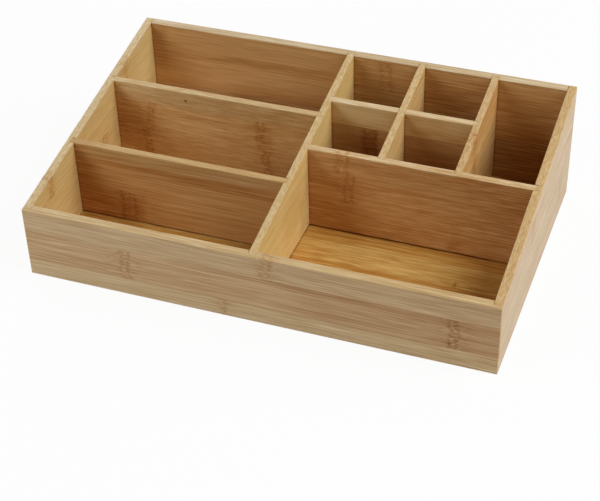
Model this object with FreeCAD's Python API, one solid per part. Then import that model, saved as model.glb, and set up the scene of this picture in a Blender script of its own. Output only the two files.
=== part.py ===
import FreeCAD, Part
import os

from FreeCAD import Vector

# Desk organizer of laminated bamboo: an open box whose top slopes down to the front, glued up from flat
# panels and split by housed dividers into long, square and tall compartments. Sizes are in millimetres.
# x runs to the right, y to the back and z up. The origin lies on the table, under the middle of the box.

# Overall size of the box
width = 330.0
depth = 210.0
front_height = 54.0
back_height = 90.0

# Stock that the pieces are cut from
wall = 6.0
divider = 5.0
base_thickness = 4.0

# Layout inside the walls: the tray in the right half, the height of the base, and the gap under the dividers
tray_depth = 97.5
base_lift = 2.7
foot_gap = 1.3

# Joints: depth of the housings cut into walls and dividers, of the base groove, and the front's end lips
wall_housing = 3.0
divider_housing = 2.0
base_tongue = 2.8
front_lip = 2.4
joint_gap = 0.1
lap_height_share = 0.5

# Sanded edges, and how far a cut runs past the piece
edge_round = 0.6
overrun = 10.0

# Outer and inner faces of the four walls, and the heights inside
half_width = width / 2
half_depth = depth / 2
left_face = wall - half_width
right_face = half_width - wall
front_face = wall - half_depth
back_face = half_depth - wall
base_top = base_lift + base_thickness
foot = base_top + foot_gap


def slope_height(y):
    """Height of the sloping top, which all walls and dividers share, at the depth y."""
    rise_share = (y + half_depth) / depth
    return front_height + (back_height - front_height) * rise_share


def panel(x_span, y_span, bottom, above=0.0):
    """A straight piece whose top edge follows the slope, or lies a given height above it."""
    x_low, x_high = x_span
    y_low, y_high = y_span
    corners = [
        Vector(x_low, y_low, bottom),
        Vector(x_low, y_high, bottom),
        Vector(x_low, y_high, slope_height(y_high) + above),
        Vector(x_low, y_low, slope_height(y_low) + above),
    ]
    outline = Part.makePolygon(corners + corners[:1])
    return Part.Face(outline).extrude(Vector(x_high - x_low, 0, 0))


def grown(span, amount):
    """A span made longer by the same amount at both ends."""
    low, high = span
    return low - amount, high + amount


def housing(x_span, y_span):
    """The upright slot for the end of a divider: wider by the glue gap, open at the top and at the floor."""
    return panel(grown(x_span, joint_gap), grown(y_span, joint_gap), base_top, overrun)


def even_spans(low_face, high_face, count):
    """Where a number of dividers lie that split the room between two faces into equal parts."""
    room = (high_face - low_face - count * divider) / (count + 1)
    starts = [low_face + room + place * (room + divider) for place in range(count)]
    return [(start, start + divider) for start in starts]


def slab(x_span, y_span, z_span):
    """A plain block between the given limits."""
    sizes = [high - low for low, high in (x_span, y_span, z_span)]
    return Part.makeBox(*sizes, Vector(x_span[0], y_span[0], z_span[0]))


def eased(piece, places):
    """The piece with the edges that pass through the given places sanded round."""
    edges = []
    for place in places:
        spot = Part.Vertex(place)
        nearest = min(piece.Edges, key=lambda edge: edge.distToShape(spot)[0])
        edges.append(nearest)
    return piece.makeFillet(edge_round, edges)


def eased_divider(x_span, y_span):
    """A divider that stops short of the base, with the two long edges of its top sanded round."""
    piece = panel(x_span, y_span, foot)
    x_middle = sum(x_span) / len(x_span)
    y_middle = sum(y_span) / len(y_span)
    runs_back = y_span[1] - y_span[0] > x_span[1] - x_span[0]
    if runs_back:
        places = [Vector(x, y_middle, slope_height(y_middle)) for x in x_span]
    else:
        places = [Vector(x_middle, y, slope_height(y)) for y in y_span]
    return eased(piece, places)


# Where each divider lies: its ends reach into the housings of the pieces that hold it
full_depth_y = grown((front_face, back_face), wall_housing)
centre_x = (-divider / 2, divider / 2)
centre_left, centre_right = centre_x

left_x = (left_face - wall_housing, centre_left + divider_housing)
left_front_y, left_rear_y = even_spans(front_face, back_face, 2)

cross_x = (centre_right - divider_housing, right_face + wall_housing)
cross_y = (front_face + tray_depth, front_face + tray_depth + divider)
cross_rear = cross_y[1]

column_y = (cross_rear - divider_housing, back_face + wall_housing)
grid_long_x, slot_x = even_spans(centre_right, right_face, 2)

grid_cross_x = (centre_right - divider_housing, slot_x[0] + divider_housing)
grid_cross_y, = even_spans(cross_rear, back_face, 1)

# The whole box as one block with its outer edges sanded, from which the four walls take their outer form
block = panel((-half_width, half_width), (-half_depth, half_depth), 0)
block = block.makeFillet(edge_round, block.Edges)

# Base panel, and the groove for it that runs round the foot of the walls
base_x = grown((left_face, right_face), base_tongue)
base_y = grown((front_face, back_face), base_tongue)
base_z = (base_lift, base_top)
base_panel = slab(base_x, base_y, base_z)
groove = slab(grown(base_x, joint_gap), grown(base_y, joint_gap), grown(base_z, joint_gap))

# Front panel: full width, with a rebate at each end behind which the side panel is glued
front_panel = panel((-half_width, half_width), (-half_depth, front_face), 0).common(block)
front_panel = eased(front_panel, [Vector(0, front_face, slope_height(front_face))])
side_front = front_lip - half_depth
rebate_y = (side_front - joint_gap, front_face + overrun)
right_rebate_x = (right_face - joint_gap, half_width + overrun)
left_rebate_x = (-half_width - overrun, left_face + joint_gap)
for rebate_x in (left_rebate_x, right_rebate_x):
    front_panel = front_panel.cut(panel(rebate_x, rebate_y, -overrun, overrun))
front_panel = front_panel.cut(groove)
front_panel = front_panel.cut(housing(centre_x, full_depth_y))

# Side panels: from the front's lips to the outer face of the back
side_y = (side_front, half_depth)
left_side = panel((-half_width, left_face), side_y, 0).common(block)
left_side = eased(left_side, [Vector(left_face, 0, slope_height(0))])
left_side = left_side.cut(groove)
left_side = left_side.cut(housing(left_x, left_front_y))
left_side = left_side.cut(housing(left_x, left_rear_y))

right_side = panel((right_face, half_width), side_y, 0).common(block)
right_side = eased(right_side, [Vector(right_face, 0, slope_height(0))])
right_side = right_side.cut(groove)
right_side = right_side.cut(housing(cross_x, cross_y))

# Back panel: glued between the sides
back_x = grown((left_face, right_face), -joint_gap)
back_panel = panel(back_x, (back_face, half_depth), 0).common(block)
back_panel = eased(back_panel, [Vector(0, back_face, slope_height(back_face))])
back_panel = back_panel.cut(groove)
back_panel = back_panel.cut(housing(centre_x, full_depth_y))
back_panel = back_panel.cut(housing(grid_long_x, column_y))
back_panel = back_panel.cut(housing(slot_x, column_y))

# Centre divider: housed in the front and back, and itself housing the crosswise dividers of both halves
centre_divider = eased_divider(centre_x, full_depth_y)
for guest in (
    housing(left_x, left_front_y),
    housing(left_x, left_rear_y),
    housing(cross_x, cross_y),
    housing(grid_cross_x, grid_cross_y),
):
    centre_divider = centre_divider.cut(guest)

# Crosswise dividers of the left half
left_front_divider = eased_divider(left_x, left_front_y)
left_rear_divider = eased_divider(left_x, left_rear_y)

# Crosswise divider behind the tray, which houses the two front-to-back pieces of the columns
cross_divider = eased_divider(cross_x, cross_y)
cross_divider = cross_divider.cut(housing(grid_long_x, column_y))
cross_divider = cross_divider.cut(housing(slot_x, column_y))

# Partition beside the tall slot
slot_partition = eased_divider(slot_x, column_y)
slot_partition = slot_partition.cut(housing(grid_cross_x, grid_cross_y))

# The grid's two members cross in a half lap: the long one is slotted from below, the crosswise one from above
lap_y = sum(grid_cross_y) / len(grid_cross_y)
lap_height = foot + (slope_height(lap_y) - foot) * lap_height_share
slot_below = (foot - overrun, lap_height + joint_gap)
slot_above = (lap_height, back_height + overrun)

grid_long_divider = eased_divider(grid_long_x, column_y)
long_slot = slab(grown(grid_long_x, overrun), grown(grid_cross_y, joint_gap), slot_below)
grid_long_divider = grid_long_divider.cut(long_slot)

grid_cross_divider = eased_divider(grid_cross_x, grid_cross_y)
cross_slot = slab(grown(grid_long_x, joint_gap), grown(grid_cross_y, overrun), slot_above)
grid_cross_divider = grid_cross_divider.cut(cross_slot)

pieces = {
    "front_panel": front_panel,
    "back_panel": back_panel,
    "left_side": left_side,
    "right_side": right_side,
    "base_panel": base_panel,
    "centre_divider": centre_divider,
    "left_front_divider": left_front_divider,
    "left_rear_divider": left_rear_divider,
    "cross_divider": cross_divider,
    "slot_partition": slot_partition,
    "grid_long_divider": grid_long_divider,
    "grid_cross_divider": grid_cross_divider,
}

os.makedirs("parts", exist_ok=True)
for name, piece in pieces.items():
    piece.exportStep(f"parts/{name}.step")
    print(name, "solids", len(piece.Solids), "volume", round(piece.Volume, 1), "valid", piece.isValid())
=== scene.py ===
import math

import bpy
from mathutils import Euler, Matrix, Vector


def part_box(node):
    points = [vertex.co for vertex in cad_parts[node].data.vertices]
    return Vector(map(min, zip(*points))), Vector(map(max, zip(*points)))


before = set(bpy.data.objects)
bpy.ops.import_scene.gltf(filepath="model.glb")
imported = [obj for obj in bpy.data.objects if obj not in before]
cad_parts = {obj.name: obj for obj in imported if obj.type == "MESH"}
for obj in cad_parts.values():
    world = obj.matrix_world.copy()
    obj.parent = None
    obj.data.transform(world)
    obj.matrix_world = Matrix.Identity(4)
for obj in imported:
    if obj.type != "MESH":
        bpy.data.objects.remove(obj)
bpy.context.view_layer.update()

# Front panel: the low wall across the full width, sawn from a board of bamboo strips that are glued edge to
# edge. Its top is planed to the slope, and a rebate at each end laps the side panels, held by glue.
strip_width = 0.02385


def shader_group(name, inputs, outputs):
    """An empty group of shader nodes with its named inputs and outputs."""
    group = bpy.data.node_groups.new(name, "ShaderNodeTree")
    for socket, kind in inputs.items():
        group.interface.new_socket(socket, in_out="INPUT", socket_type="NodeSocket" + kind)
    for socket, kind in outputs.items():
        group.interface.new_socket(socket, in_out="OUTPUT", socket_type="NodeSocket" + kind)
    return group, group.nodes.new("NodeGroupInput").outputs, group.nodes.new("NodeGroupOutput").inputs


def feed(tree, value, socket):
    """Links an output to a socket, or sets the socket to a plain value."""
    if isinstance(value, bpy.types.NodeSocket):
        tree.links.new(value, socket)
    else:
        socket.default_value = value


def maths(tree, operation, *values):
    """The result of a Math node."""
    node = tree.nodes.new("ShaderNodeMath")
    node.operation = operation
    for value, socket in zip(values, node.inputs):
        feed(tree, value, socket)
    return node.outputs[0]


def total(tree, *values):
    """The sum of several values."""
    result = values[0]
    for value in values[1:]:
        result = maths(tree, "ADD", result, value)
    return result


def vectors(tree, operation, *values):
    """The result of a Vector Math node."""
    node = tree.nodes.new("ShaderNodeVectorMath")
    node.operation = operation
    for value, socket in zip(values, node.inputs):
        feed(tree, value, socket)
    return node.outputs["Value" if operation == "DOT_PRODUCT" else "Vector"]


def scaled(tree, place, factors):
    """A place stretched by its own factor along each axis."""
    return vectors(tree, "MULTIPLY", place, factors)


def parts_of(tree, place):
    """The three numbers of a place."""
    node = tree.nodes.new("ShaderNodeSeparateXYZ")
    feed(tree, place, node.inputs[0])
    return node.outputs


def mapped(tree, value, from_low, from_high, to_low=0.0, to_high=1.0):
    """A value that runs smoothly between two results, and stays there outside its limits."""
    node = tree.nodes.new("ShaderNodeMapRange")
    node.interpolation_type = "SMOOTHSTEP"
    for number, item in enumerate((value, from_low, from_high, to_low, to_high)):
        feed(tree, item, node.inputs[number])
    return node.outputs[0]


def noise(tree, place, detail=2.0, roughness=0.5):
    """Soft noise with a grain of one unit, above and below zero."""
    node = tree.nodes.new("ShaderNodeTexNoise")
    feed(tree, place, node.inputs["Vector"])
    node.inputs["Scale"].default_value = 1.0
    node.inputs["Detail"].default_value = detail
    node.inputs["Roughness"].default_value = roughness
    return maths(tree, "SUBTRACT", node.outputs["Fac"], 0.5)


def from_spot(tree, place):
    """How far the nearest of many scattered spots is, with one spot to a unit."""
    node = tree.nodes.new("ShaderNodeTexVoronoi")
    feed(tree, place, node.inputs["Vector"])
    node.inputs["Scale"].default_value = 1.0
    return node.outputs["Distance"]


# The board's strips: which one a point lies in, the glue line at its edges, and its own place in the cane
glue_starts = 0.488
glue_full = 0.499
cane_shift = (4.0, 0.6, 0.6)
strips, given, result = shader_group(
    "bamboo_strips",
    {"Grain": "Vector", "First Joint": "Float", "Board": "Float"},
    {"Strip": "Float", "Glue Line": "Float", "Cane Place": "Vector"},
)
across = maths(strips, "SUBTRACT", parts_of(strips, given["Grain"])["Y"], given["First Joint"])
counted = maths(strips, "DIVIDE", across, strip_width)
strip = maths(strips, "FLOOR", counted)
off_middle = maths(strips, "ABSOLUTE", maths(strips, "SUBTRACT", maths(strips, "FRACT", counted), 0.5))
own = strips.nodes.new("ShaderNodeTexWhiteNoise")
own.noise_dimensions = "2D"
pair = strips.nodes.new("ShaderNodeCombineXYZ")
strips.links.new(strip, pair.inputs[0])
strips.links.new(given["Board"], pair.inputs[1])
strips.links.new(pair.outputs[0], own.inputs["Vector"])
cane_place = vectors(strips, "ADD", given["Grain"], scaled(strips, own.outputs["Color"], cane_shift))
strips.links.new(strip, result["Strip"])
strips.links.new(mapped(strips, off_middle, glue_starts, glue_full), result["Glue Line"])
strips.links.new(cane_place, result["Cane Place"])

# The cane's fibres: slow bands, brown streaks, fine hairs, and dark bundles that show as specks where cut.
# The three numbers of each are how many of them lie in a metre along, across and through the cane.
drift_count = (40.0, 60.0, 60.0)
band_count = (4.0, 200.0, 200.0)
crowd_count = (7.0, 90.0, 90.0)
streak_count = (7.0, 950.0, 950.0)
short_hair_count = (60.0, 1150.0, 1150.0)
long_hair_count = (18.0, 2100.0, 2100.0)
bundle_count = (34.0, 1000.0, 1000.0)
fibres, given, result = shader_group(
    "bamboo_fibres",
    {"Cane Place": "Vector", "Curl": "Float", "Length": "Float"},
    {"Bands": "Float", "Streaks": "Float", "Hairs": "Float", "Bundles": "Float"},
)
drift = noise(fibres, scaled(fibres, given["Cane Place"], drift_count))
sway = fibres.nodes.new("ShaderNodeCombineXYZ")
fibres.links.new(maths(fibres, "MULTIPLY", drift, given["Curl"]), sway.inputs[1])
stretch = fibres.nodes.new("ShaderNodeCombineXYZ")
fibres.links.new(given["Length"], stretch.inputs[0])
stretch.inputs[1].default_value = 1.0
stretch.inputs[2].default_value = 1.0
place = vectors(fibres, "ADD", given["Cane Place"], sway.outputs[0])
place = vectors(fibres, "DIVIDE", place, stretch.outputs[0])
bands = noise(fibres, scaled(fibres, place, band_count), detail=3.0, roughness=0.6)
crowded = noise(fibres, scaled(fibres, place, crowd_count), detail=1.0)
streaks = noise(fibres, scaled(fibres, place, streak_count), detail=2.0, roughness=0.6)
streaks = mapped(fibres, total(fibres, streaks, maths(fibres, "MULTIPLY", crowded, 0.7)), 0.04, 0.22)
short_hairs = noise(fibres, scaled(fibres, place, short_hair_count), detail=1.0)
long_hairs = noise(fibres, scaled(fibres, place, long_hair_count), detail=1.0)
cut = from_spot(fibres, scaled(fibres, place, bundle_count))
fibres.links.new(bands, result["Bands"])
fibres.links.new(streaks, result["Streaks"])
fibres.links.new(total(fibres, short_hairs, long_hairs), result["Hairs"])
fibres.links.new(mapped(fibres, cut, 0.10, 0.45, 1.0, 0.0), result["Bundles"])

# A knuckle of the cane: a wavy belt of dark and pale flecks across one strip, with stray flecks on both sides
wave_count = (20.0, 130.0, 130.0)
grit_count = (430.0, 1250.0, 1250.0)
stray_count = (170.0, 850.0, 850.0)
wave_sway = 0.008
row_width = 0.0022
belt_edge = 0.0030
belt_core = 0.002
knuckle, given, result = shader_group(
    "bamboo_knuckle",
    {
        "Grain": "Vector",
        "Strip": "Float",
        "On Strip": "Float",
        "Place": "Float",
        "Spread": "Float",
        "Reach": "Float",
        "Strength": "Float",
    },
    {"Flecks": "Float", "Halo": "Float"},
)
wave = noise(knuckle, scaled(knuckle, given["Grain"], wave_count))
origin = maths(knuckle, "SUBTRACT", given["Place"], maths(knuckle, "MULTIPLY", wave, wave_sway))
away = maths(knuckle, "ABSOLUTE", maths(knuckle, "SUBTRACT", parts_of(knuckle, given["Grain"])["X"], origin))
past_row = maths(knuckle, "SUBTRACT", away, given["Spread"])
row = mapped(knuckle, maths(knuckle, "ABSOLUTE", past_row), 0.0, row_width, 0.07, 0.0)
belt = mapped(knuckle, past_row, 0.0, belt_edge, 1.0, 0.0)
grit = noise(knuckle, scaled(knuckle, given["Grain"], grit_count), detail=2.0, roughness=0.6)
grit = mapped(knuckle, total(knuckle, grit, row), -0.14, 0.20, -0.35, 1.15)
belt_flecks = maths(knuckle, "MULTIPLY", belt, grit)
stray = noise(knuckle, scaled(knuckle, given["Grain"], stray_count), detail=1.0)
nearby = mapped(knuckle, away, belt_core, given["Reach"], 1.0, 0.0)
stray_flecks = maths(knuckle, "MULTIPLY", nearby, mapped(knuckle, stray, 0.05, 0.17, 0.0, 0.5))
here = maths(knuckle, "COMPARE", given["Strip"], given["On Strip"], 0.1)
strength = maths(knuckle, "MULTIPLY", here, given["Strength"])
flecks = maths(knuckle, "MULTIPLY", total(knuckle, belt_flecks, stray_flecks), strength)
cloud = mapped(knuckle, total(knuckle, wave, stray), -0.2, 0.2, 0.3, 1.7)
halo = maths(knuckle, "MULTIPLY", maths(knuckle, "MULTIPLY", nearby, cloud), strength)
knuckle.links.new(flecks, result["Flecks"])
knuckle.links.new(halo, result["Halo"])

# The planed top: all walls and dividers share one slope, and their bare top edges are paler than their faces
front_height = 0.054
back_height = 0.090
box_depth = 0.210
edge_starts = 0.0009
edge_full = 0.0001
planed, given, result = shader_group("planed_top", {"Place": "Vector"}, {"Top": "Float"})
slope = math.atan2(back_height - front_height, box_depth)
height = vectors(planed, "DOT_PRODUCT", given["Place"], (0.0, -math.sin(slope), math.cos(slope)))
level = (front_height + back_height) / 2 * math.cos(slope)
planed.links.new(mapped(planed, height, level - edge_starts, level - edge_full), result["Top"])

# A darker or paler patch, soft at its edges, broken up by its fibres, and only so deep. It gives the cane's
# own tone in some places and painted light and shade in others
patch_core = 0.35
patch, given, result = shader_group(
    "bamboo_patch",
    {"Grain": "Vector", "Hairs": "Float", "Middle": "Vector", "Reach": "Vector", "Strength": "Float"},
    {"Patch": "Float"},
)
span = vectors(patch, "DIVIDE", vectors(patch, "SUBTRACT", given["Grain"], given["Middle"]), given["Reach"])
off = parts_of(patch, vectors(patch, "ABSOLUTE", span))
furthest = maths(patch, "MAXIMUM", maths(patch, "MAXIMUM", off["X"], off["Y"]), off["Z"])
soft = mapped(patch, furthest, patch_core, 1.0, 1.0, 0.0)
broken = maths(patch, "MULTIPLY", soft, mapped(patch, given["Hairs"], -0.35, 0.35, 1.4, 0.6))
patch.links.new(maths(patch, "MULTIPLY", broken, given["Strength"]), result["Patch"])

# The bamboo's colour: a strip's own tone, deepened by all the marks above. Red fades least and blue most.
tinted, given, result = shader_group(
    "bamboo_colour",
    {
        "Tone": "Color",
        "Top Tone": "Color",
        "Fade": "Vector",
        "Figure": "Float",
        "Streaked": "Float",
        "Top": "Float",
        "Bands": "Float",
        "Streaks": "Float",
        "Hairs": "Float",
        "Bundles": "Float",
        "Glue Line": "Float",
        "Flecks": "Float",
        "Halo": "Float",
        "Patch": "Float",
    },
    {"Color": "Color", "Roughness": "Float", "Height": "Float"},
)


def share_of(mark, share):
    """A part of one of the marks that are given."""
    return maths(tinted, "MULTIPLY", given[mark], share)


banding = maths(tinted, "ADD", share_of("Streaked", -0.35), -0.30)
specks = mapped(tinted, given["Top"], 0.0, 1.0, 0.16, 0.26)
figure = total(tinted, share_of("Bands", banding), share_of("Hairs", -1.0), share_of("Bundles", specks))
contrast = maths(tinted, "MAXIMUM", given["Figure"], share_of("Top", 0.75))
depth = total(
    tinted,
    maths(tinted, "MULTIPLY", figure, contrast),
    share_of("Streaks", share_of("Streaked", 0.60)),
    share_of("Glue Line", mapped(tinted, given["Top"], 0.0, 1.0, 0.30, 0.05)),
    share_of("Flecks", 0.85),
    share_of("Halo", 0.16),
    share_of("Patch", mapped(tinted, given["Top"], 0.0, 1.0, 1.0, 0.2)),
)
deepened = tinted.nodes.new("ShaderNodeCombineColor")
for socket, fade in zip(deepened.inputs, parts_of(tinted, given["Fade"])):
    tinted.links.new(maths(tinted, "POWER", fade, depth), socket)
bare = tinted.nodes.new("ShaderNodeMix")
bare.data_type = "RGBA"
first_colour = bare.inputs[6]
second_colour = bare.inputs[7]
mixed_colour = bare.outputs[2]
tinted.links.new(share_of("Top", 0.85), bare.inputs["Factor"])
tinted.links.new(given["Tone"], first_colour)
tinted.links.new(given["Top Tone"], second_colour)
colour = scaled(tinted, mixed_colour, deepened.outputs[0])
hollows = total(tinted, share_of("Bundles", -0.6), share_of("Flecks", -0.1), share_of("Glue Line", -0.8))
tinted.links.new(colour, result["Color"])
tinted.links.new(mapped(tinted, depth, -0.2, 0.6, 0.44, 0.60), result["Roughness"])
tinted.links.new(maths(tinted, "ADD", given["Hairs"], hollows), result["Height"])


pale_top = (0.60, 0.425, 0.205)
brown_fade = (0.58, 0.37, 0.20)


def bamboo(
    piece,
    board_number,
    grain,
    first_joint,
    tones,
    knuckles=(),
    patches=(),
    top=pale_top,
    fade=brown_fade,
    figure=0.9,
    length=1.0,
    curl=0.0012,
    gloss=0.3,
    marked_face=0.0,
    mark_depth=1.0,
):
    """Gives a panel its bamboo. Grain names its axes along, across and through the board.

    A tone is a strip's colour and how streaked it is, from the lowest strip up. A knuckle is its strip, its
    place along it, half its width, its reach and its strength. A patch is its middle along and across the
    grain, its reach both ways and its strength, which is below zero where it is paler. Patches lie on the
    marked face, and fade out below it at the mark's depth.
    """
    material = bpy.data.materials.new("bamboo_" + piece)
    material.use_nodes = True
    tree = material.node_tree
    tree.nodes.clear()
    spot = tree.nodes.new("ShaderNodeTexCoord")
    axes = parts_of(tree, spot.outputs["Object"])
    turned = tree.nodes.new("ShaderNodeCombineXYZ")
    for axis, socket in zip(grain, turned.inputs):
        tree.links.new(axes[axis], socket)
    board = tree.nodes.new("ShaderNodeGroup")
    board.node_tree = strips
    tree.links.new(turned.outputs[0], board.inputs["Grain"])
    board.inputs["First Joint"].default_value = first_joint
    board.inputs["Board"].default_value = board_number
    cane = tree.nodes.new("ShaderNodeGroup")
    cane.node_tree = fibres
    tree.links.new(board.outputs["Cane Place"], cane.inputs["Cane Place"])
    cane.inputs["Curl"].default_value = curl
    cane.inputs["Length"].default_value = length
    edge = tree.nodes.new("ShaderNodeGroup")
    edge.node_tree = planed
    tree.links.new(spot.outputs["Object"], edge.inputs["Place"])

    chart = tree.nodes.new("ShaderNodeValToRGB")
    chart.color_ramp.interpolation = "CONSTANT"
    stops = chart.color_ramp.elements
    while len(stops) < len(tones):
        stops.new(1.0)
    for number, (tone, streaked) in enumerate(tones):
        stops[number].position = number / len(tones)
        stops[number].color = (*tone, streaked)
    share = maths(tree, "DIVIDE", maths(tree, "ADD", board.outputs["Strip"], 0.5), float(len(tones)))
    tree.links.new(share, chart.inputs["Fac"])

    finish = tree.nodes.new("ShaderNodeGroup")
    finish.node_tree = tinted
    tree.links.new(chart.outputs["Color"], finish.inputs["Tone"])
    finish.inputs["Top Tone"].default_value = (*top, 1.0)
    finish.inputs["Fade"].default_value = fade
    finish.inputs["Figure"].default_value = figure
    tree.links.new(chart.outputs["Alpha"], finish.inputs["Streaked"])
    tree.links.new(edge.outputs["Top"], finish.inputs["Top"])
    tree.links.new(board.outputs["Glue Line"], finish.inputs["Glue Line"])
    for pattern in ("Bands", "Streaks", "Hairs", "Bundles"):
        tree.links.new(cane.outputs[pattern], finish.inputs[pattern])
    marks = {"Flecks": 0.0, "Halo": 0.0, "Patch": 0.0}
    for along, across, reach_along, reach_across, strength in patches:
        node = tree.nodes.new("ShaderNodeGroup")
        node.node_tree = patch
        tree.links.new(turned.outputs[0], node.inputs["Grain"])
        tree.links.new(cane.outputs["Hairs"], node.inputs["Hairs"])
        node.inputs["Middle"].default_value = (along, across, marked_face)
        node.inputs["Reach"].default_value = (reach_along, reach_across, mark_depth)
        node.inputs["Strength"].default_value = strength
        marks["Patch"] = maths(tree, "ADD", node.outputs["Patch"], marks["Patch"])
    for on_strip, along, spread, reach, strength in knuckles:
        node = tree.nodes.new("ShaderNodeGroup")
        node.node_tree = knuckle
        tree.links.new(turned.outputs[0], node.inputs["Grain"])
        tree.links.new(board.outputs["Strip"], node.inputs["Strip"])
        node.inputs["On Strip"].default_value = on_strip
        node.inputs["Place"].default_value = along
        node.inputs["Spread"].default_value = spread
        node.inputs["Reach"].default_value = reach
        node.inputs["Strength"].default_value = strength
        for mark in ("Flecks", "Halo"):
            marks[mark] = maths(tree, "ADD", node.outputs[mark], marks[mark])
    for mark, found in marks.items():
        feed(tree, found, finish.inputs[mark])

    bump = tree.nodes.new("ShaderNodeBump")
    bump.inputs["Strength"].default_value = 0.5
    bump.inputs["Distance"].default_value = 0.00006
    tree.links.new(finish.outputs["Height"], bump.inputs["Height"])
    shader = tree.nodes.new("ShaderNodeBsdfPrincipled")
    shader.inputs["Specular IOR Level"].default_value = gloss
    tree.links.new(finish.outputs["Color"], shader.inputs["Base Color"])
    tree.links.new(finish.outputs["Roughness"], shader.inputs["Roughness"])
    tree.links.new(bump.outputs["Normal"], shader.inputs["Normal"])
    output = tree.nodes.new("ShaderNodeOutputMaterial")
    tree.links.new(shader.outputs["BSDF"], output.inputs["Surface"])
    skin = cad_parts[piece].data.materials
    skin.clear()
    skin.append(material)


front_low = (0.577, 0.40, 0.20)
front_middle = (0.53, 0.332, 0.155)
front_high = (0.533, 0.354, 0.173)
beige_fade = (0.53, 0.37, 0.21)
bamboo(
    "front_panel",
    board_number=1,
    grain="XZY",
    first_joint=-0.0106,
    tones=[(front_low, 0.05), (front_middle, 0.40), (front_high, 0.15)],
    knuckles=[
        (1, -0.0918, 0.0026, 0.024, 0.50),
        (2, 0.0105, 0.0028, 0.016, 0.40),
        (0, -0.0207, 0.0012, 0.012, 0.40),
        (1, 0.1350, 0.0024, 0.018, 0.65),
    ],
    # The two broad patches at the ends, paler at the left end and darker at the right end, are painted light
    # and shade.
    patches=[
        (0.0600, 0.0357, 0.1400, 0.0020, 0.22),
        (-0.1350, 0.0350, 0.0500, 0.0025, 0.16),
        (0.0700, 0.0290, 0.0500, 0.0009, 0.16),
        (0.0850, 0.0240, 0.0500, 0.0009, 0.14),
        (0.0600, 0.0195, 0.0600, 0.0011, 0.16),
        (0.0800, 0.0250, 0.0700, 0.0150, 0.10),
        (-0.1300, 0.0155, 0.0500, 0.0025, 0.12),
        (-0.1300, 0.0270, 0.1100, 0.0700, -0.08),
        (0.1650, 0.0270, 0.0700, 0.0700, 0.10),
    ],
    top=(0.57, 0.395, 0.18),
    fade=beige_fade,
    figure=0.97,
    length=1.6,
    gloss=0.5,
)

# Side panels: the two sloping walls, sawn with the grain along them, so that their top edges cut the fibres
# at a low angle and show them as specks. They are glued behind the front's lips.
left_honey = (0.64, 0.44, 0.175)
bamboo(
    "left_side",
    board_number=2,
    grain="YZX",
    first_joint=-0.0040,
    tones=[(left_honey, 0.1)] * 4,
    knuckles=[
        (2, -0.0730, 0.0016, 0.010, 0.5),
        (1, 0.0085, 0.0022, 0.010, 0.5),
        (3, 0.0510, 0.0016, 0.010, 0.3),
    ],
    patches=[(0.0950, 0.0650, 0.0450, 0.0300, -0.12), (-0.0100, 0.0500, 0.0400, 0.0200, 0.06)],
    top=(0.57, 0.412, 0.205),
    figure=0.55,
    gloss=0.5,
)
right_beige = (0.477, 0.345, 0.188)
right_rose = (0.485, 0.339, 0.192)
bamboo(
    "right_side",
    board_number=3,
    grain="YZX",
    first_joint=-0.0094,
    tones=[(right_rose, 0.1), (right_beige, 0.1)] * 2 + [(right_rose, 0.1)],
    knuckles=[(2, -0.0200, 0.0024, 0.012, 0.2), (1, 0.0720, 0.0024, 0.012, 0.25)],
    top=(0.555, 0.355, 0.142),
    fade=beige_fade,
    figure=0.8,
    length=1.4,
    gloss=0.5,
)

# Base panel: a thinner board of warmer, more figured strips. It is slid, without glue, into a groove that
# runs round the foot of the walls, and the dividers stop just above it.
amber = (0.62, 0.34, 0.08)
gold = (0.67, 0.41, 0.12)
# Painted shade: dark lines on the base's top under the foot of each divider, where the narrow gap lies in
# shade, and a little in front of it.
painted_shade_under_dividers = [
    (0.0, 0.0, 0.0034, 0.1000, 1.2),
    (0.0810, 0.0015, 0.0790, 0.0040, 1.6),
    (-0.0810, -0.0333, 0.0790, 0.0034, 0.4),
    (-0.0810, 0.0343, 0.0790, 0.0034, 1.0),
]
# Painted light and shade mixed with the base's own tone: darker towards the right wall, at the left end of
# the front left bay and at the foot of the back in the slot, where walls shade the floor, with paler and
# darker places in the tray.
painted_shade_and_tone = [
    (0.1600, -0.0500, 0.0600, 0.0700, 0.25),
    (-0.1500, -0.0450, 0.0500, 0.0300, 0.30),
    (0.0750, -0.0100, 0.0900, 0.0120, -0.10),
    (0.0250, -0.0380, 0.0700, 0.0260, 0.20),
    (0.0550, -0.0270, 0.0380, 0.0110, -0.18),
    (0.0250, -0.0110, 0.0260, 0.0110, 0.14),
    (0.0950, -0.0420, 0.0800, 0.0140, 0.14),
    (0.1350, 0.0860, 0.0300, 0.0130, -0.30),
    (0.1350, 0.0990, 0.0300, 0.0025, 0.70),
    (0.1180, -0.0340, 0.0014, 0.0040, 0.50),
]
bamboo(
    "base_panel",
    board_number=4,
    grain="XYZ",
    first_joint=-0.1097,
    tones=[(amber, 0.7), (gold, 0.7)] * 4 + [(amber, 0.7)],
    patches=painted_shade_under_dividers + painted_shade_and_tone,
    figure=1.05,
    length=0.8,
    curl=0.002,
    marked_face=0.0067,
    mark_depth=0.0035,
)

# Back panel: the tall wall, a board of wide brown strips with the grain along it. It is glued between the
# ends of the sides, and its inner face is cut for the ends of the pieces that run to the back.
back_foot = (0.60, 0.36, 0.158)
back_low = (0.63, 0.357, 0.136)
back_high = (0.603, 0.332, 0.120)


def painted_corner_shade(*neighbours):
    """Painted shade: thin dark patches on a crosswise board, along the corners where other pieces meet its
    face.
    """
    middle_height = 0.0500
    line_width = 0.0014
    line_height = 0.1500
    darkness = 0.35
    lines = []
    for neighbour in neighbours:
        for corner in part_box(neighbour):
            lines.append((corner[0], middle_height, line_width, line_height, darkness))
    return lines


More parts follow.
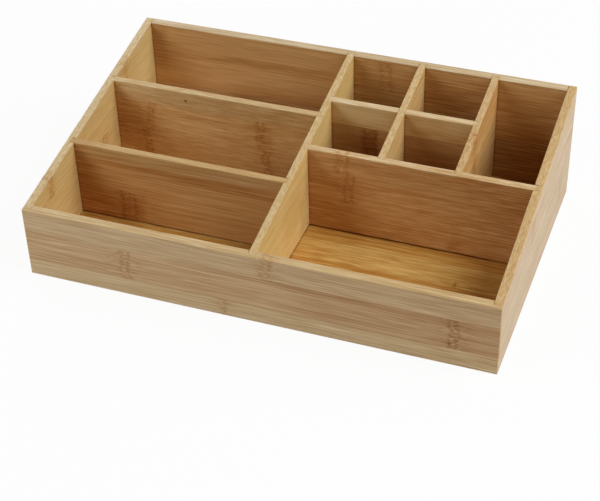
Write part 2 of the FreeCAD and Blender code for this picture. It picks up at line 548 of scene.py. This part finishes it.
bamboo(
    "back_panel",
    board_number=5,
    grain="XZY",
    first_joint=-0.0081,
    tones=[(back_foot, 0.05), (back_foot, 0.05), (back_low, 0.2), (back_high, 0.3), (back_high, 0.3)],
    knuckles=[(3, 0.0272, 0.0034, 0.014, 0.4)],
    # Most of these patches are painted light and shade: darker along the foot, in the cells, in the slot and
    # in the upper left corners, and paler in the left bay. The corner lines are painted shade too.
    patches=[
        (0.0, 0.0120, 0.3000, 0.0420, 0.50),
        (-0.0800, 0.0600, 0.0900, 0.0500, -0.14),
        (-0.1400, 0.0360, 0.0700, 0.0220, -0.35),
        (0.0550, 0.0660, 0.0620, 0.0180, 0.16),
        (0.0830, 0.0660, 0.0280, 0.0220, 0.24),
        (0.1350, 0.0580, 0.0280, 0.0300, 0.25),
        (0.1350, 0.0120, 0.0280, 0.0320, 0.28),
        (-0.1590, 0.0660, 0.0160, 0.0300, 0.22),
        (0.0040, 0.0700, 0.0140, 0.0260, 0.20),
        (0.0580, 0.0700, 0.0140, 0.0260, 0.20),
        (-0.0650, 0.0685, 0.0600, 0.0040, 0.25),
    ]
    + painted_corner_shade("left_side", "centre_divider", "grid_long_divider", "slot_partition", "right_side"),
    top=(0.588, 0.462, 0.278),
    fade=(0.52, 0.37, 0.23),
    figure=0.85,
    length=1.3,
    marked_face=0.0990,
    mark_depth=0.0060,
)

# Centre divider: the longest divider, from front to back. It is let into the front and the back, and holds
# the ends of the crosswise dividers of both halves.
centre_honey = (0.655, 0.455, 0.175)
bamboo(
    "centre_divider",
    board_number=6,
    grain="YZX",
    first_joint=-0.0080,
    tones=[(centre_honey, 0.1)] * 4,
    knuckles=[(0, -0.0160, 0.0020, 0.010, 0.25), (1, -0.0160, 0.0020, 0.010, 0.15)],
    patches=[(-0.0060, 0.0180, 0.0260, 0.0180, -0.15), (-0.0340, 0.0380, 0.0240, 0.0200, 0.12)],
    figure=0.5,
)

# Crosswise dividers of the left half: two boards of browner strips with the grain along them. Their ends are
# let into the left side and the centre divider, with glue.
chestnut = (0.60, 0.332, 0.124)
pale_chestnut = (0.575, 0.338, 0.134)
bamboo(
    "left_front_divider",
    board_number=7,
    grain="XZY",
    first_joint=0.0082,
    tones=[(chestnut, 0.3), (chestnut, 0.45), (pale_chestnut, 0.3)],
    # The knuckle's wide halo near the left end is partly painted shade. The first three patches are painted
    # shade, darker in the lower left corner and along the left end, and so are the corner lines.
    knuckles=[(0, -0.1205, 0.0046, 0.036, 0.60)],
    patches=[
        (-0.1550, 0.0160, 0.0400, 0.0220, 0.46),
        (-0.1590, 0.0400, 0.0240, 0.0180, 0.28),
        (-0.1590, 0.0420, 0.0140, 0.0450, 0.20),
        (-0.1185, 0.0190, 0.0130, 0.0150, 0.34),
        (-0.0800, 0.0537, 0.0900, 0.0022, 0.45),
        (-0.0450, 0.0500, 0.0600, 0.0014, 0.30),
        (-0.0500, 0.0260, 0.0600, 0.0120, -0.12),
    ]
    + painted_corner_shade("left_side", "centre_divider"),
    top=(0.53, 0.34, 0.132),
    figure=0.92,
    length=1.5,
)
rear_tan = (0.69, 0.42, 0.168)
rear_pale = (0.65, 0.417, 0.178)
small_speck = (-0.1025, 0.0706, 0.0012, 0.0012, 1.40)
bamboo(
    "left_rear_divider",
    board_number=8,
    grain="XZY",
    first_joint=-0.0080,
    tones=[(rear_tan, 0.3)] * 3 + [(rear_pale, 0.3)],
    knuckles=[
        (2, -0.1310, 0.0018, 0.016, 0.45),
        (1, -0.1355, 0.0018, 0.030, 0.60),
        (2, -0.0450, 0.0020, 0.016, 0.50),
        (1, -0.0415, 0.0020, 0.016, 0.50),
    ],
    # The patches at the left end, darker along the left wall and into the lower corner, are painted shade,
    # and so are the corner lines.
    patches=[
        (-0.1560, 0.0480, 0.0350, 0.0200, 0.30),
        (-0.1590, 0.0340, 0.0260, 0.0180, 0.30),
        (-0.1450, 0.0720, 0.0350, 0.0120, -0.14),
        (-0.0050, 0.0700, 0.0400, 0.0160, 0.20),
        (-0.0550, 0.0560, 0.0350, 0.0240, 0.12),
        (-0.0430, 0.0510, 0.0090, 0.0180, 0.12),
        (-0.1590, 0.0600, 0.0120, 0.0400, 0.16),
        small_speck,
    ]
    + painted_corner_shade("left_side", "centre_divider"),
    top=(0.58, 0.415, 0.20),
    figure=0.85,
    length=0.7,
    marked_face=0.0313,
    mark_depth=0.0045,
)

# Divider behind the tray: a board of russet strips, let into the centre divider and the right side with glue.
# Its rear face holds the front ends of the pieces that part the columns behind it. Its right end shows in the
# top edge of the side, and has the tone of that edge.
cross_russet = (0.585, 0.312, 0.116)
cross_pale = (0.57, 0.302, 0.11)
right_end = (0.1630, 0.0700, 0.0040, 0.0060, 2.00)
bamboo(
    "cross_divider",
    board_number=9,
    grain="XZY",
    first_joint=0.0082,
    tones=[(cross_russet, 0.6), (cross_russet, 0.5), (cross_pale, 0.5)],
    knuckles=[
        (2, 0.0275, 0.0034, 0.014, 0.45),
        (1, 0.0325, 0.0028, 0.014, 0.50),
        (0, 0.1085, 0.0016, 0.006, 0.14),
    ],
    # Most of these patches are painted light and shade: darker in the lower left corner and towards the right
    # wall, with paler places between. The corner lines are painted shade too.
    patches=[
        (0.0050, 0.0180, 0.0500, 0.0200, 0.32),
        (0.0050, 0.0680, 0.0350, 0.0120, -0.10),
        (0.0420, 0.0420, 0.0450, 0.0300, -0.08),
        (0.1350, 0.0660, 0.0550, 0.0120, 0.14),
        (0.1600, 0.0350, 0.0600, 0.0500, 0.12),
        (0.1085, 0.0110, 0.0080, 0.0080, 0.20),
        right_end,
    ]
    + painted_corner_shade("centre_divider", "right_side"),
    top=(0.65, 0.48, 0.26),
    figure=0.97,
    length=0.7,
)

# Partition beside the tall slot: a board of honey strips from the divider behind the tray to the back. Its
# ends are let into both with glue, and its left face holds the end of the grid.
slot_honey = (0.63, 0.385, 0.145)
bamboo(
    "slot_partition",
    board_number=10,
    grain="YZX",
    first_joint=-0.0110,
    tones=[(slot_honey, 0.2), (slot_honey, 0.2), (slot_honey, 0.4), (slot_honey, 0.4), (slot_honey, 0.2)],
    knuckles=[(2, 0.0370, 0.0026, 0.014, 0.6), (3, 0.0370, 0.0026, 0.014, 0.6)],
    patches=[(0.0650, 0.0800, 0.0500, 0.0180, 0.22), (0.0750, 0.0480, 0.0450, 0.0160, -0.08)],
    top=(0.595, 0.418, 0.209),
    figure=0.85,
)

# Grid of the square compartments: two boards that cross in a half lap, where each is slotted to half its
# height. The long one is of honey strips, and the crosswise one of brown strips under a pale one.
grid_honey = (0.615, 0.40, 0.16)
bamboo(
    "grid_long_divider",
    board_number=11,
    grain="YZX",
    first_joint=-0.0123,
    tones=[(grid_honey, 0.1)] * 4,
    figure=0.7,
)
grid_brown = (0.46, 0.235, 0.08)
grid_pale = (0.65, 0.41, 0.167)
bamboo(
    "grid_cross_divider",
    board_number=12,
    grain="XZY",
    first_joint=-0.0088,
    tones=[(grid_brown, 0.3)] * 3 + [(grid_pale, 0.2)],
    knuckles=[(2, 0.0315, 0.0040, 0.016, 0.6)],
    # Most of these patches are painted light and shade: paler high in the left cell, and in the right cell a
    # smooth change from light above to dark below. The corner lines are painted shade too.
    patches=[
        (0.0250, 0.0755, 0.0320, 0.0110, -0.24),
        (0.0250, 0.0590, 0.0300, 0.0065, -0.15),
        (0.0300, 0.0520, 0.0220, 0.0130, 0.05),
        (0.0306, 0.0500, 0.0085, 0.0150, 0.50),
        (0.0850, 0.0590, 0.0300, 0.0090, -0.10),
        (0.0850, 0.0655, 0.0300, 0.0055, 0.26),
        (0.0800, 0.0470, 0.0320, 0.0090, 0.15),
    ]
    + painted_corner_shade("centre_divider", "grid_long_divider", "slot_partition"),
    top=(0.68, 0.53, 0.31),
    figure=0.7,
)

# Table: a plain white top, painted matt, that runs out into the white background and keeps the organizer's
# soft shadow. It lies a hair below the foot of the walls.
table_size = 6.0
table_gap = 0.0002
white_share = 0.93
bpy.ops.mesh.primitive_plane_add(size=table_size, location=(0.0, 0.0, -table_gap))
table = bpy.context.object
table.name = "table"
paint = bpy.data.materials.new("white_table")
paint.use_nodes = True
tree = paint.node_tree
shader = tree.nodes["Principled BSDF"]
shader.inputs["Base Color"].default_value = (0.90, 0.90, 0.90, 1.0)
shader.inputs["Roughness"].default_value = 0.9
glow = tree.nodes.new("ShaderNodeEmission")
path = tree.nodes.new("ShaderNodeLightPath")
seen = maths(tree, "MULTIPLY", path.outputs["Is Camera Ray"], white_share)
mirrored = maths(tree, "MAXIMUM", path.outputs["Is Glossy Ray"], path.outputs["Is Transmission Ray"])
mix = tree.nodes.new("ShaderNodeMixShader")
tree.links.new(maths(tree, "MAXIMUM", seen, mirrored), mix.inputs["Fac"])
tree.links.new(shader.outputs["BSDF"], mix.inputs[1])
tree.links.new(glow.outputs["Emission"], mix.inputs[2])
tree.links.new(mix.outputs["Shader"], tree.nodes["Material Output"].inputs["Surface"])
table.data.materials.append(paint)

# Light: a white room that shows in the lacquer, a wide soft lamp high on the right, and two weaker lamps on
# the left that fill the shadows.
room_light = 0.05
world = bpy.data.worlds.new("white_room")
bpy.context.scene.world = world
world.use_nodes = True
tree = world.node_tree
sky = tree.nodes["Background"]
sky.inputs["Color"].default_value = (1.0, 1.0, 1.0, 1.0)
path = tree.nodes.new("ShaderNodeLightPath")
mirrored = maths(tree, "MAXIMUM", path.outputs["Is Glossy Ray"], path.outputs["Is Transmission Ray"])
seen = maths(tree, "MAXIMUM", path.outputs["Is Camera Ray"], mirrored)
tree.links.new(mapped(tree, seen, 0.0, 1.0, to_low=room_light, to_high=1.0), sky.inputs["Strength"])


def lamp(name, azimuth, elevation, width, height, level):
    """A soft lamp that faces the organizer. A level of 1 lights white paper to white."""
    away = 1.5
    tilt = math.pi / 2 - math.radians(elevation)
    swing = math.pi / 2 + math.radians(azimuth)
    turn = Euler((tilt, 0.0, swing)).to_matrix()
    data = bpy.data.lights.new(name, "AREA")
    data.shape = "RECTANGLE"
    data.size = width
    data.size_y = height
    data.energy = level * (math.pi * away) ** 2
    light = bpy.data.objects.new(name, data)
    light.matrix_world = Matrix.Translation(turn @ Vector((0.0, 0.0, away))) @ turn.to_4x4()
    bpy.context.scene.collection.objects.link(light)


lamp("right_lamp", azimuth=0.0, elevation=42.0, width=0.9, height=1.2, level=0.93)
lamp("front_left_lamp", azimuth=-137.0, elevation=30.0, width=0.8, height=0.8, level=0.36)
lamp("back_left_lamp", azimuth=135.0, elevation=30.0, width=0.9, height=0.9, level=0.33)

# Camera: in front of the organizer and to its right, looking down on it through a long lens. It is rolled a
# little, so that the box leans as it does in the photograph.
look_down = math.radians(37.62)
look_left = math.radians(20.9)
roll = math.radians(-1.63)
distance = 0.9967
camera_data = bpy.data.cameras.new("camera")
camera_data.sensor_width = 36.0
camera_data.lens = 89.4
camera = bpy.data.objects.new("camera", camera_data)
bpy.context.scene.collection.objects.link(camera)
aim = Vector((0.0170, -0.0594, 0.0300))
turn = Euler((math.pi / 2 - look_down, 0.0, look_left)).to_matrix()
turn = turn @ Euler((0.0, 0.0, roll)).to_matrix()
camera.matrix_world = Matrix.Translation(aim + turn @ Vector((0.0, 0.0, distance))) @ turn.to_4x4()
bpy.context.scene.camera = camera
bpy.context.scene.view_settings.view_transform = "Standard"
